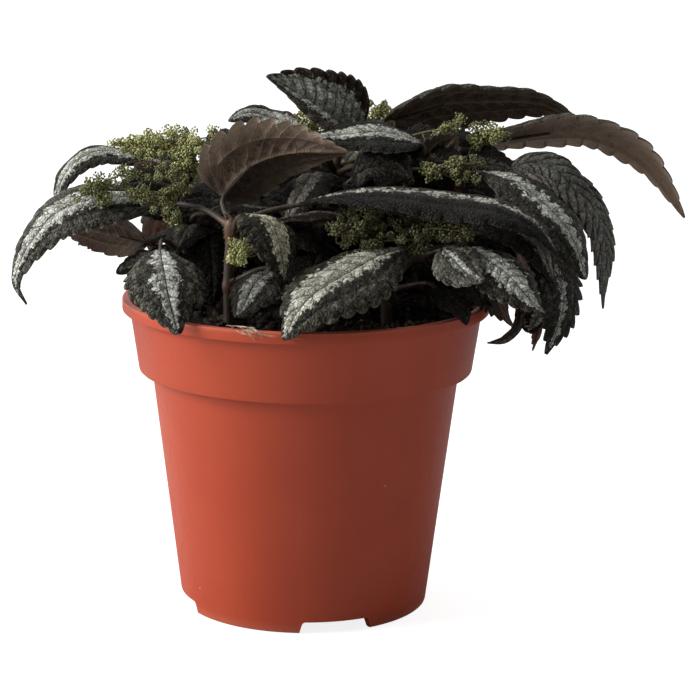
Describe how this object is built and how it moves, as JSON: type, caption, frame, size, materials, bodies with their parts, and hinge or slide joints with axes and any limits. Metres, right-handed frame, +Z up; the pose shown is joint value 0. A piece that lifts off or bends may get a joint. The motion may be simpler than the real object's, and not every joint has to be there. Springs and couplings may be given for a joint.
{
  "type": "potted friendship plant",
  "caption": "Friendship plant with toothed dark leaves banded in silver, brown undersides and yellow-green flower tufts, in a tapered terracotta-coloured plastic nursery pot.",
  "frame": {"origin": "On the pot's axis, on the surface that the pot stands on, at the middle of the flat pad under its floor.", "axes": "+Z up along the pot's axis; +X to the right in the picture, the way the foliage spreads widest; +Y away from the camera."},
  "size_m": [0.2198, 0.1533, 0.1756],
  "materials": {
    "terracotta_plastic": "satin",
    "potting_soil": "rough",
    "leaf": "satin",
    "flower": "matte"
  },
  "bodies": {
    "root": {"pot": "terracotta_plastic", "soil": "potting_soil", "stem_front_left": "leaf", "stem_left": "leaf", "stem_centre_front": "leaf", "stem_centre": "leaf", "stem_right": "leaf", "stem_back_right": "leaf", "stem_back": "leaf", "stem_back_left": "leaf", "flowers_left_upper": "flower", "flowers_left_lower": "flower", "flowers_front_small": "flower", "flowers_centre_front": "flower", "flowers_centre_right": "flower", "flowers_crown_right": "flower", "flowers_crown_top": "flower", "flowers_right_middle": "flower", "flowers_right_small": "flower", "flowers_crown_left": "flower", "flowers_back": "flower", "flowers_back_left": "flower"}
  },
  "joints": []
}
